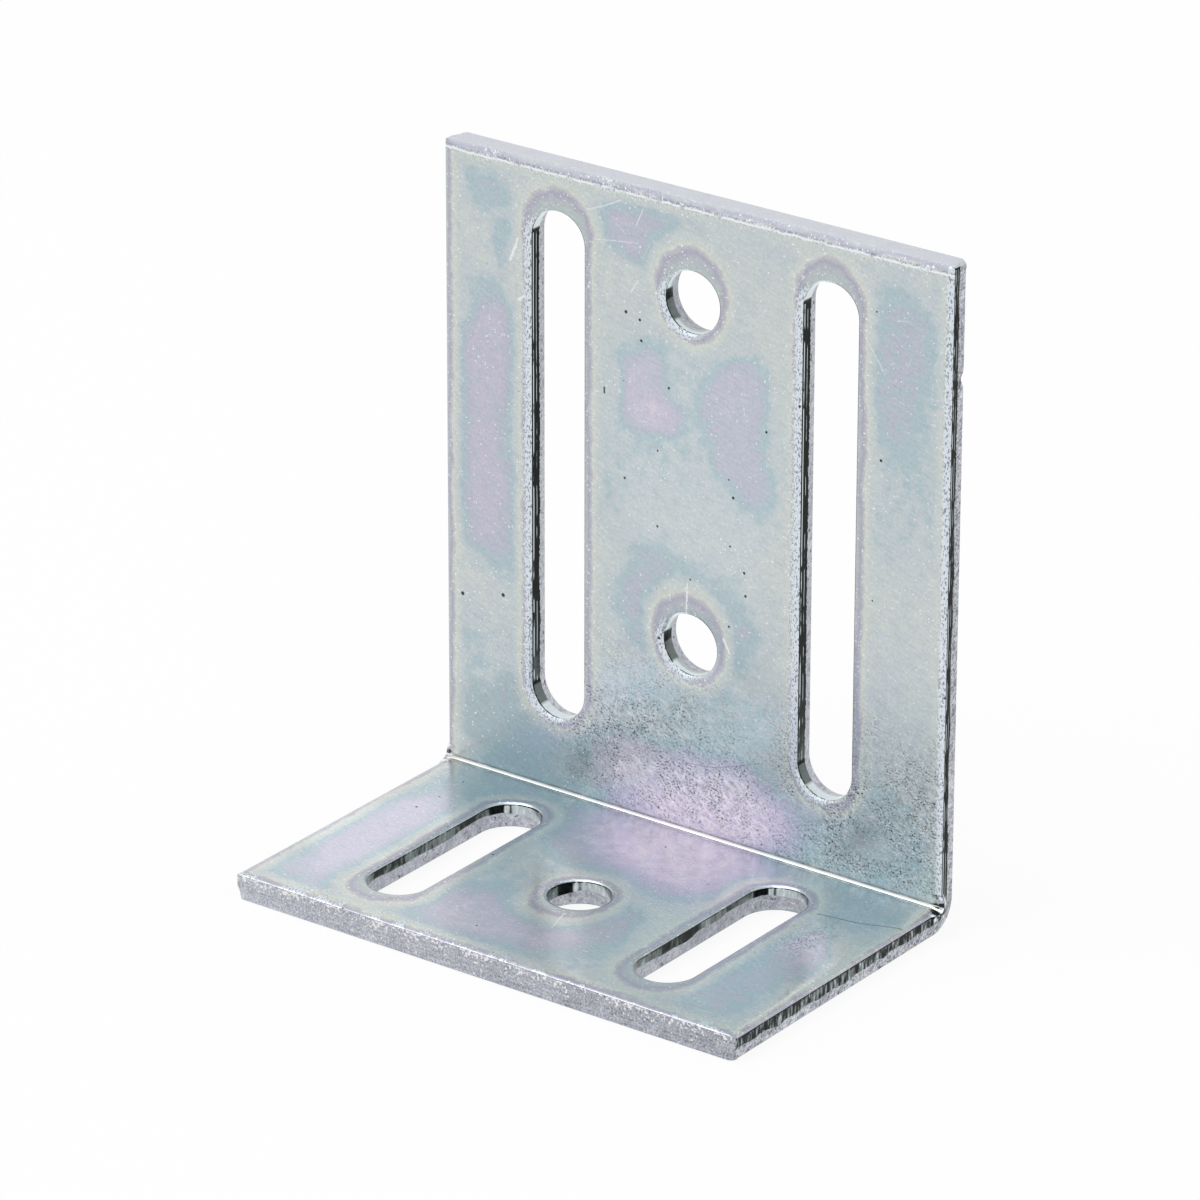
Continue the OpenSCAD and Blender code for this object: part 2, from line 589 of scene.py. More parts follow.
@dataclass(frozen=True)
class FilmFinish:
    """Clear blue passivated zinc: a film that runs through pale colours with its thickness, with painted
    highlights and reflections on its rims and crease ends and painted shade beside the crease.
    """

    name: str = "passivated_zinc"
    metallic: float = 1.0
    # white of bright flecks and scratches, also used for painted highlights on the top rim and the crease
    # ends
    fleck_and_highlight: Colour = linear(240, 243, 246)
    # painted highlight colour of the rims
    rim_highlight: Colour = linear(222, 230, 238)
    # dark pits and marks, also the black painted reflections at the squeezed ends of the crease
    pit: Colour = linear(44, 50, 52)
    # dark painted reflection, in dashes along the rims
    rim_dark_reflection: Colour = linear(78, 88, 94)
    dull: Colour = linear(104, 116, 112)
    # pale cream painted highlight in the middle of the crease
    crease: Colour = linear(206, 203, 196)
    # painted shade along both sides of the crease
    crease_shade: Colour = linear(96, 94, 92)
    roll_s: float = 72.2
    grain_shape: Triple = (0.7, 1.0, 1.0)
    grain_turn: float = 12.0
    aside: float = 200.0
    stops: tuple = (
        (0.00, linear(187, 196, 197)),
        (0.10, linear(185, 191, 195)),
        (0.25, linear(177, 177, 191)),
        (0.33, linear(191, 191, 197)),
        (0.42, linear(208, 213, 207)),
        (0.52, linear(202, 209, 207)),
        (0.61, linear(196, 204, 207)),
        (0.71, linear(177, 195, 201)),
        (0.79, linear(186, 191, 203)),
        (0.89, linear(196, 193, 208)),
        (1.00, linear(214, 208, 216)),
    )
    scratches: tuple = (
        Mark(-23.7, 61.3, -22.9, 63.2, 0.17),
        Mark(-22.9, 63.2, -22.7, 64.0, 0.12),
        Mark(-22.6, 57.0, -21.9, 57.6, 0.14),
        Mark(-0.45, 26.6, -0.35, 29.9, 0.11),
        Mark(4.4, 24.8, 5.2, 23.3, 0.13),
        Mark(-13.4, 69.3, -11.0, 70.3, 0.08),
        Mark(-11.0, 70.3, -9.2, 71.2, 0.08),
        Mark(-7.2, 68.9, -6.3, 70.9, 0.08),
        Mark(-7.9, 61.3, -6.9, 62.8, 0.09),
        Mark(1.4, -25.3, 2.4, -28.8, 0.09),
        Mark(-12.6, 66.2, -6.9, 66.9, 0.06),
        Mark(12.6, 61.8, 14.0, 60.3, 0.07),
        Mark(21.8, 63.4, 24.4, 59.6, 0.07),
    )
    dark_marks: tuple = (
        Mark.pit(-8.5, 58.9, 0.20),
        Mark.pit(-6.7, 58.4, 0.17),
        Mark.pit(-6.5, 56.1, 0.17),
        Mark(-11.3, 49.1, -11.3, 49.7, 0.12),
        Mark.pit(-8.6, 40.0, 0.15),
        Mark.pit(5.5, 41.2, 0.18),
        Mark.pit(7.0, 33.0, 0.17),
        Mark.pit(7.2, 30.4, 0.17),
        Mark.pit(-2.9, 51.6, 0.16),
        Mark.pit(24.1, 50.0, 0.18),
        Mark.pit(-30.3, 21.1, 0.24),
        Mark.pit(-24.8, 22.3, 0.24),
        Mark(-0.5, 9.0, 3.6, 9.5, 0.045),
        Mark(3.6, 9.5, 9.3, 11.6, 0.045),
        Mark(22.9, -9.6, 27.6, -8.9, 0.09),
        Mark(27.6, -8.9, 32.0, -7.3, 0.09),
    )

    def material(self) -> bpy.types.Material:
        """Builds the finish.

        Returns:
            The material.
        """
        g = Graph(self.name)
        flat, rim, peel, glow = g.flat(), g.layer("rim"), g.layer("peel"), g.layer("glow")
        outside = g.ease(g.axis(flat, 2), 1.0, 2.0)
        aside = g.add("ShaderNodeCombineXYZ", {0: g.times(outside, self.aside)}).outputs[0]
        face = g.vector("ADD", g.stretched(flat, (1.0, 1.0, 0.0)), aside)
        ragged = g.wobbled(face, 2.4, 0.35)
        film = g.plus(g.layer("film"), g.spread(g.noise(flat, 0.7, 5), 0.26))
        film = g.plus(film, g.spread(g.noise(flat, 4.5, 2), 0.04))
        colour = g.ramp(film, self.stops)
        shade = g.plus(1.0, g.spread(g.noise(flat, 2.6, 4), 0.34))
        shade = g.plus(shade, g.spread(g.noise(g.stretched(face, (0.5, 3.5, 1.0), 20), 1.0, 3), 0.22))
        mottle = g.noise(g.stretched(face, (0.8, 1.5, 1.0), 38), 1.3, 3)
        shade = g.plus(shade, g.times(g.spread(mottle, 1.6), peel))
        shade = g.times(g.minus(shade, self._grain(g, face, peel)), g.layer("gain"))
        colour = g.mix(1.0, colour, g.grey(shade), "MULTIPLY")
        inside = g.minus(1.0, outside)
        # painted highlights and dark painted reflections on the rims
        colour = self._rim_highlights(g, flat, glow, inside, colour)
        white = self._white(g, face, ragged, rim, peel)
        colour = g.mix(g.times(white, 0.85), colour, self.fleck_and_highlight)
        dark = g.dots(ragged, 0.22, 0.045, 0.14)
        for mark in self.dark_marks:
            dark = g.most(dark, g.times(g.stroke(face, mark), min(0.95, 7 * mark.wide)))
        colour = g.mix(dark, colour, self.pit)
        colour = self._squeezed(g, flat, self._creased(g, flat, inside, colour))
        rough = g.ease(g.noise(flat, 0.35, 4), 0.3, 0.7, 0.20, 0.28)
        rough = g.plus(rough, g.times(peel, 0.10))
        normal = g.bump(g.noise(flat, 2.2, 3), 0.05, g.ease(peel, 0.0, 1.0, 0.10, 0.85))
        return g.metal(colour, rough, normal, self.metallic)

    def _grain(self, g: Graph, face: Value, peel: Value) -> Socket:
        """Gives the dark grain of the coarse skin, in clusters.

        Args:
            g: The material's nodes.
            face: Place on the face.
            peel: Share of the coarse skin.

        Returns:
            How much the grain takes off the shade.
        """
        wide = g.stretched(face, self.grain_shape, self.grain_turn)
        grit = g.ease(g.noise(wide, 5.0, 3), 0.30, 0.52, 1.0, 0.0)
        crowd = g.ease(g.noise(face, 0.45, 3), 0.38, 0.60, 0.25, 1.0)
        return g.times(g.times(grit, crowd), g.times(peel, 1.45))

    def _white(self, g: Graph, face: Value, ragged: Value, rim: Value, peel: Value) -> Socket:
        """Scatters bright flecks, hairlines and the scratches.

        Args:
            g: The material's nodes.
            face: Place on the face.
            ragged: The same, shifted about.
            rim: Distance from the nearest edge.
            peel: Share of the coarse skin.

        Returns:
            A mask that is 1 on bright metal.
        """
        crowd = g.ease(g.noise(face, 0.16, 2), 0.44, 0.66)
        near = g.ease(rim, 0.9, 3.2, 1.0, 0.0)
        share = g.plus(0.03, g.plus(g.times(near, 0.15), g.times(crowd, 0.10)))
        white = g.times(g.dots(ragged, 3.1, 0.42, share), 0.85)
        white = g.most(white, g.dots(ragged, 1.5, 0.24, g.times(share, 0.5)))
        for turn, few in ((24, 0.014), (-52, 0.014), (80, 0.012)):
            hair = g.dots(g.stretched(ragged, (3.0, 0.10, 1.0), turn), 1.0, 0.16, few)
            white = g.most(white, g.times(hair, 0.5))
        for mark in self.scratches:
            strength = 0.9 if mark.wide > 0.1 else 0.6
            white = g.most(white, g.times(g.stroke(ragged, mark), strength))
        wide = g.stretched(face, self.grain_shape, self.grain_turn)
        grains = g.ease(g.noise(wide, 5.2, 3), 0.54, 0.66)
        return g.most(white, g.times(grains, g.times(peel, 1.1)))

    def _rim_highlights(self, g: Graph, flat: Value, glow: Value, inside: Value, colour: Value) -> Socket:
        """Paints highlights onto the rims that face the light, with a ragged border, dark dashes of painted
        reflection, a painted highlight line where the top rim begins and a darker band just past it.

        Args:
            g: The material's nodes.
            flat: Place on the strip.
            glow: How strongly the rim's painted highlight shows.
            inside: 1 on the inside face and 0 on the outside one.
            colour: Colour so far.

        Returns:
            The colour with the rims.
        """
        # painted highlight on the rims that face the light, with a ragged border
        torn = g.plus(glow, g.spread(g.noise(flat, 4.2, 3), 1.5))
        colour = g.mix(g.times(g.ease(torn, 0.45, 0.66), 0.92), colour, self.rim_highlight)
        # dark dashes of painted reflection along the rims
        rim_dark_reflection = g.ease(g.noise(g.stretched(flat, (2.0, 0.9, 2.0)), 3.0, 3), 0.40, 0.48, 1.0, 0.0)
        colour = g.mix(g.times(rim_dark_reflection, g.times(glow, 0.7)), colour, self.rim_dark_reflection)
        # painted highlight line where the top rim begins, and a darker band just past it
        past = g.minus(g.axis(flat, 1), self.roll_s)
        past = g.plus(past, g.spread(g.noise(g.stretched(flat, (0.5, 0.0, 0.0)), 1.0, 4), 0.5))
        strung = g.noise(g.stretched(flat, (0.9, 0.3, 0.3)), 1.0, 4)
        bright = g.band(past, -0.14, -0.07, 0.05, 0.12, g.ease(strung, 0.36, 0.50))
        dull = g.band(past, 0.10, 0.18, 0.30, 0.42, g.ease(g.noise(flat, 3.5, 3), 0.46, 0.56))
        colour = g.mix(g.times(g.times(dull, inside), 0.45), colour, self.dull)
        return g.mix(g.times(g.times(bright, inside), 0.9), colour, self.fleck_and_highlight)

    def _squeezed(self, g: Graph, flat: Value, colour: Value) -> Socket:
        """Paints the squeezed ends of the crease with bright painted highlights and black painted
        reflections, facet by facet.

        Args:
            g: The material's nodes.
            flat: Place on the strip.
            colour: Colour so far.

        Returns:
            The colour with the facets.
        """
        ear, facet = g.layer("ear"), g.noise(flat, 0.9, 3)
        # painted highlights, then black painted reflections, on the facets of the squeezed ends
        colour = g.mix(g.times(g.ease(facet, 0.42, 0.48, 1.0, 0.0), ear), colour, self.fleck_and_highlight)
        return g.mix(g.times(g.ease(facet, 0.53, 0.57), ear), colour, self.pit)

    def _creased(self, g: Graph, flat: Value, inside: Value, colour: Value) -> Socket:
        """Paints shade along both sides of the crease as patchy dark lines, and a pale cream painted
        highlight into its middle.

        Args:
            g: The material's nodes.
            flat: Place on the strip.
            inside: 1 on the inside face and 0 on the outside one.
            colour: Colour so far.

        Returns:
            The colour with the lines.
        """
        along = g.math("ABSOLUTE", g.axis(flat, 1))
        line = g.times(g.ease(along, 0.55, 1.15), g.ease(along, 1.35, 1.75, 1.0, 0.0))
        shade_patches = g.times(g.ease(g.noise(flat, 0.7, 3), 0.3, 0.7, 0.35, 0.85), inside)
        middle = g.times(g.ease(along, 0.4, 0.7, 0.6, 0.0), inside)
        colour = g.mix(middle, colour, self.crease)
        return g.mix(g.times(line, shade_patches), colour, self.crease_shade)


@dataclass(frozen=True)
class SmoothCutFinish:
    """Burnished upper band of a punched wall: a mirror whose dark and pale patches, lines and spots are
    painted reflections.
    """

    name: str = "burnished_cut_painted_reflections"
    metallic: float = 1.0
    # colours of the painted reflections, from black to white
    stops: tuple = (
        (0.00, linear(12, 15, 15)),
        (0.22, linear(34, 40, 39)),
        (0.42, linear(106, 116, 115)),
        (0.66, linear(178, 187, 190)),
        (0.85, linear(212, 223, 227)),
        (1.00, linear(240, 244, 247)),
    )

    def material(self) -> bpy.types.Material:
        """Builds the finish.

        Returns:
            The material.
        """
        g = Graph(self.name)
        flat, deep, cross = g.flat(), g.layer("deep"), g.layer("cross")
        across = g.noise(g.stretched(flat, (2.6, 2.6, 0.8)), 1.0, 5)
        along = g.noise(g.stretched(flat, (0.10, 0.10, 6.0)), 1.0, 3)
        broken, strung = g.noise(flat, 2.4, 3), g.noise(g.stretched(flat, (0.35, 0.35, 1.2)), 1.0, 4)
        # painted reflection tone, with streaks
        tone = g.plus(g.layer("tone"), g.times(g.minus(across, 0.5), cross))
        tone = g.plus(tone, g.spread(along, 0.12))
        # dark spots of painted reflection near the top of the band
        spots = g.times(g.ease(deep, 0.10, 0.16, 1.0, 0.0), g.ease(broken, 0.40, 0.50))
        tone = g.minus(tone, g.times(spots, 0.55))
        # painted highlight lines along the band, on long straight walls
        lit = g.band(deep, 0.14, 0.20, 0.25, 0.31, g.ease(strung, 0.36, 0.52))
        lit = g.most(lit, g.band(deep, 0.56, 0.59, 0.61, 0.65, g.ease(strung, 0.42, 0.56)))
        drawn = g.layer("drawn")
        lit = g.times(lit, g.ease(drawn, 0.85, 0.95))
        lit = g.most(lit, g.band(deep, 0.92, 0.98, 1.10, 1.20, g.ease(broken, 0.44, 0.56)))
        tone = g.most(tone, g.times(g.times(lit, drawn), 0.86))
        # painted highlights and black reflections at the squeezed ends of the crease
        tone = g.plus(tone, g.times(g.layer("ear"), g.spread(g.noise(flat, 0.9, 3), 5.0)))
        colour = g.ramp(tone, self.stops)
        rough = g.ease(across, 0.3, 0.7, 0.12, 0.22)
        return g.metal(colour, rough, g.bump(across, 0.03, 0.35), self.metallic)


@dataclass(frozen=True)
class TornCutFinish:
    """Torn lower band of a punched wall and the sheared ends: rough grey zinc, bright nicks, dark pits."""

    name: str = "torn_cut"
    metallic: float = 0.9
    nick: Colour = linear(242, 239, 240)
    foot: Colour = linear(132, 156, 164)
    stops: tuple = (
        (0.00, linear(46, 50, 52)),
        (0.25, linear(112, 118, 124)),
        (0.50, linear(170, 172, 182)),
        (0.70, linear(202, 205, 212)),
        (1.00, linear(232, 235, 239)),
    )

    def material(self) -> bpy.types.Material:
        """Builds the finish.

        Returns:
            The material.
        """
        g = Graph(self.name)
        flat, calm, deep, end = g.flat(), g.layer("calm"), g.layer("deep"), g.layer("end")
        coarse, fine = g.noise(flat, 1.0, 4), g.noise(flat, 4.2, 3)
        hatch = g.noise(g.stretched(flat, (1.2, 3.2, 1.6)), 1.0, 3)
        drawn = g.noise(g.stretched(flat, (0.3, 1.0, 4.0)), 1.0, 3)
        swing = g.times(g.spread(coarse, 1.0), g.ease(end, 0.0, 1.0, 1.0, 0.35))
        swing = g.plus(swing, g.times(g.spread(fine, 1.9), g.ease(end, 0.0, 1.0, 1.0, 0.7)))
        swing = g.plus(swing, g.times(g.spread(hatch, 1.3), g.minus(1.0, end)))
        swing = g.plus(swing, g.times(g.spread(drawn, 0.45), end))
        level = g.ease(calm, 0.0, 1.0, 0.85, 0.30)
        tone = g.plus(g.layer("tone"), g.times(swing, level))
        colour = g.ramp(tone, self.stops)
        patch = g.plus(g.noise(flat, 2.8, 5), g.times(g.layer("nick"), 0.15))
        nicks = g.times(g.ease(patch, 0.64, 0.69), g.ease(calm, 0.0, 1.0, 0.95, 0.3))
        colour = g.mix(nicks, colour, self.nick)
        hollow = g.times(g.ease(g.noise(flat, 1.7, 2), 0.64, 0.69), g.minus(1.0, end))
        colour = g.mix(g.times(hollow, 0.85), colour, self.stops[0][1])
        foot = g.ease(deep, 1.90, 1.97)
        colour = g.mix(g.times(foot, 0.55), colour, self.foot)
        rough = g.ease(fine, 0.3, 0.7, 0.34, 0.52)
        height = g.plus(coarse, g.times(fine, 0.5))
        normal = g.bump(height, 0.12, g.ease(calm, 0.0, 1.0, 0.6, 0.15))
        return g.metal(colour, rough, normal, self.metallic)


@dataclass(frozen=True)
class Patch:
    """A wide patch of the face where the film settles at its own thickness. In mm."""

    u: float
    s: float
    wide: float
    long: float
    level: float
    gain: float = 1.0

    def share(self, u: np.ndarray, s: np.ndarray) -> np.ndarray:
        """Gives how far the patch covers each place.

        Args:
            u: Places across the strip.
            s: Places along it.

        Returns:
            Shares from 0 to 1.
        """
        far = np.hypot((u - self.u) / self.wide, (s - self.s) / self.long)
        t = np.clip((1.45 - far) / 0.9, 0, 1)
        return t * t * (3 - 2 * t)


LAYERS = ("tone", "deep", "calm", "cross", "nick", "drawn", "end")


@dataclass
class Skin:
    """Points and faces of the sheet as they are gathered, with what the finishes read at each point."""

    u: list = field(default_factory=list)
    s: list = field(default_factory=list)
    d: list = field(default_factory=list)
    layers: dict = field(default_factory=dict)
    polygons: list = field(default_factory=list)
    bands: list = field(default_factory=list)
    count: int = 0

    def points(self, us: np.ndarray, d: Number, **layers: Number) -> np.ndarray:
        """Adds points and gives their numbers.

        Args:
            us: Rows of u, s.
            d: Depths.
            layers: What the finishes read there; 0 where not given.

        Returns:
            The new points' numbers.
        """
        n = len(us)
        self.u.append(us[:, 0])
        self.s.append(us[:, 1])
        self.d.append(np.broadcast_to(d, (n,)))
        for name in LAYERS:
            value = np.asarray(layers.get(name, 0.0), float)
            self.layers.setdefault(name, []).append(np.broadcast_to(value, (n,)))
        self.count += n
        return np.arange(self.count - n, self.count)

    def faces(self, rows: np.ndarray, bands: Union[np.ndarray, int]) -> None:
        """Adds faces of one size with their bands."""
        self.polygons.append(rows)
        self.bands.append(np.broadcast_to(bands, (len(rows),)))


@dataclass
class WallRow:
    """One ring of a cut wall: its offset into the metal, its depth, its layers and the band below it."""

    offset: np.ndarray
    depth: np.ndarray
    layers: dict
    band: CutBand


@dataclass
class CutWall:
    """The wall of one cut through the sheet: rounded rim, smooth band, step and torn band. Sizes in mm."""

    edge: Edge
    grain: Grain
    sheet_t: float
    smooth_d: float
    ring: Loop = field(init=False)
    tone: np.ndarray = field(init=False)
    foot: np.ndarray = field(init=False)
    rim_shares: tuple = (1.0, 0.72, 0.48, 0.27, 0.11, 0.0)
    smooth_shares: tuple = (0.10, 0.20, 0.45, 0.75, 1.0)
    torn_shares: tuple = (0.05, 0.25, 0.5, 0.75, 0.95, 1.0)
    free_end_rim: float = 0.38
    notch_s: float = 60.0
    notch_half: float = 0.6
    notch_bite: float = 0.35
    # painted reflection tones of the hole walls, by the way they face
    tall_reflection_tones: tuple = (
        (90, 0.82), (168, 0.84), (171, 0.03), (187, 0.04),
        (190, 0.36), (224, 0.40), (228, 0.80), (270, 0.84),
    )
    short_reflection_tones: tuple = (
        (0, 0.70), (33, 0.68), (36, 0.12), (39, 0.70), (47, 0.70),
        (50, 0.03), (74, 0.05), (79, 0.42), (95, 0.40), (180, 0.5),
    )

    def __post_init__(self) -> None:
        """Lays the edge out, with its tone and the depth at which it tears."""
        self.ring = self.edge.ring()
        self.tone, self.foot = self._tone(), self._foot()

    @property
    def outer(self) -> bool:
        """Tells the outer edge from an opening."""
        return isinstance(self.edge, Outline)

    def add_to(self, skin: Skin) -> tuple[np.ndarray, np.ndarray]:
        """Adds the wall to the skin.

        Args:
            skin: Where the points and faces go.

        Returns:
            Numbers of the points that meet the inside face and the outside face.
        """
        edge, ring, same = self.edge, self.ring, self._layers()
        rows = self._upper_rows() + self._torn_rows()
        numbers = []
        for row in rows:
            numbers.append(skin.points(edge.shifted(ring, row.offset), row.depth, **{**same, **row.layers}))
        for row, above, below in zip(rows, numbers, numbers[1:]):
            left, right = (above, below) if self.outer else (below, above)
            quads = np.stack([left, right, np.roll(right, -1), np.roll(left, -1)], 1)
            bands = np.full(len(quads), row.band.value)
            bands[(ring.end > 0.6) & (bands == CutBand.SMOOTH.value)] = CutBand.TORN.value
            skin.faces(quads, bands)
        return numbers[0], numbers[-1]

    def _layers(self) -> dict:
        """Gives what the finishes read all the way down the wall.

        Returns:
            Layers by name.
        """
        edge, ring, s = self.edge, self.ring, self.ring.points[:, 1]
        sideways = np.abs(ring.into[:, 0]) > 0.995
        layers = {"tone": self.tone, "end": ring.end}
        if self.outer:
            layers["calm"] = np.clip(ring.end * (s > 0), 0, 1)
            layers["cross"] = np.where(s < 1.0, 1.9, 0.3)
            layers["drawn"] = sideways * np.where(s > 1.0, 1.0, 0.8)
        else:
            layers["calm"] = 0.7
            layers["cross"] = 0.15 if edge.s0 > 0 else 0.7
            layers["drawn"] = sideways * (s > 1.0) * (edge.s1 > edge.s0)
        return layers

    def _upper_rows(self) -> list[WallRow]:
        """Lays out the rounded rim and the smooth band.

        Returns:
            The rows, from the face down.
        """
        edge, ring, zero = self.edge, self.ring, 0 * self.ring.run
        small = 1 - (1 - self.free_end_rim) * ring.end * (ring.points[:, 1] < 0)
        rows = []
        for share in self.rim_shares:
            offset = edge.rim.reach * share
            ragged = self.grain.layered(ring.run, zero + 40 * share, 1.3, 2) * 0.05 * share * (1 - share)
            depth = edge.rim.depth(offset) * small
            rows.append(WallRow((offset + ragged) * small, depth, {}, CutBand.FACE))
        rows[-1].band = CutBand.SMOOTH
        drop = edge.rim.drop * small
        tall_hole = not self.outer and edge.s0 == edge.s1 and edge.s0 > 0
        for share in self.smooth_shares:
            layers = {"deep": share, "nick": 1 - share}
            # the lower half of a tall hole's smooth band gets a milder painted reflection
            if tall_hole and share > 0.5:
                layers["tone"] = 0.45 * self.tone + 0.24
            rows.append(WallRow(zero, drop + (self.foot - drop) * share, layers, CutBand.SMOOTH))
        rows[-1].band = CutBand.TORN
        return rows

    def _torn_rows(self) -> list[WallRow]:
        """Lays out the torn band, which leans away and is bitten by the tear.

        Returns:
            The rows, down to the outside face.
        """
        run, end, (u, s) = self.ring.run, self.ring.end, self.ring.points.T
        foot, t, notch = self.foot, self.sheet_t, 0 * run
        if self.outer:
            notch = self.notch_bite * np.exp(-(((s - self.notch_s) / self.notch_half) ** 2)) * (u > 0)
        dull = 0.56 + 0.1 * self.grain.layered(run, 0 * run, 6.0, 2)
        torn_tone = np.where(end > 0.5, self.tone, dull) - 1.2 * notch
        rows = []
        for share in self.torn_shares:
            depth = foot + (t - foot) * share
            swing = 0.11 * math.sin(math.pi * min(share + 0.05, 1.0))
            bite = self.grain.layered(run, depth * 3, 1.1, 3) * swing * (0.55 + 0.25 * end)
            step = np.maximum(0.05 * (1 - end) + bite, 0)
            if share == 1.0:
                depth, step = 0 * run + t, 0.10 + 0.04 * end
            offset = self.edge.lean * (1 - end) * share + step + notch * share
            rows.append(WallRow(offset, depth, {"deep": 1 + share, "tone": torn_tone}, CutBand.TORN))
        return rows

    def _foot(self) -> np.ndarray:
        """Gives the depth at which the smooth band tears, point by point.

        Returns:
            Depths below the inside face.
        """
        edge, grain, run = self.edge, self.grain, self.ring.run
        zero, s = 0 * run, self.ring.points[:, 1]
        wave, saw = grain.layered(run, zero, 5.0, 3), grain.layered(run, zero + 9, 1.5, 3)
        if self.outer:
            return self.smooth_d + np.where(s > 1, 0.25 * wave - 0.25, 0.34 * wave + 0.30 * saw)
        return self.smooth_d + (0.16 * wave if edge.s0 > 0 else 0.55 * wave - 0.30)

    def _tone(self) -> np.ndarray:
        """Gives the tone of the smooth band: painted reflections, dark or pale by the way the wall faces;
        on the outline's cut ends, the grey of the torn metal.

        Returns:
            Tones from 0, black, to 1, white.
        """
        edge, ring = self.edge, self.ring
        streak = self.grain.layered(ring.run, 0 * ring.run, 2.4, 3)
        if self.outer:
            tall = ring.points[:, 1] > 0
            ends = np.where(tall, 0.70, 0.55 - 0.002 * ring.points[:, 0])
            # sides of the outline: painted reflection, nearly black on the tall leg
            sides = np.where(tall, 0.04, 0.30) + 0.10 * streak
            return np.where(ring.end > 0.5, ends + 0.04 * streak, sides)
        around = np.degrees(np.arctan2(ring.into[:, 1], ring.into[:, 0])) % 360
        slot_wall = (np.abs(ring.into[:, 0]) > 0.999) & (edge.s1 > edge.s0)
        if edge.s0 > 0:
            side = np.where((around > 90) & (around < 270), around, (180 - around) % 360)
            tone = np.interp(side, *zip(*self.tall_reflection_tones))
            # tall slot walls: painted reflection, lighter towards their low end
            low = np.interp(ring.points[:, 1], (13, 22, 40), (0.34, 0.08, -0.04))
            tone = np.where(slot_wall, low, tone)
        else:
            off = np.abs((around - 90 + 180) % 360 - 180)
            tone = np.interp(off, *zip(*self.short_reflection_tones))
            tone = np.where(slot_wall, 0.36 + 0.30 * streak, tone)
        return tone + 0.03 * streak


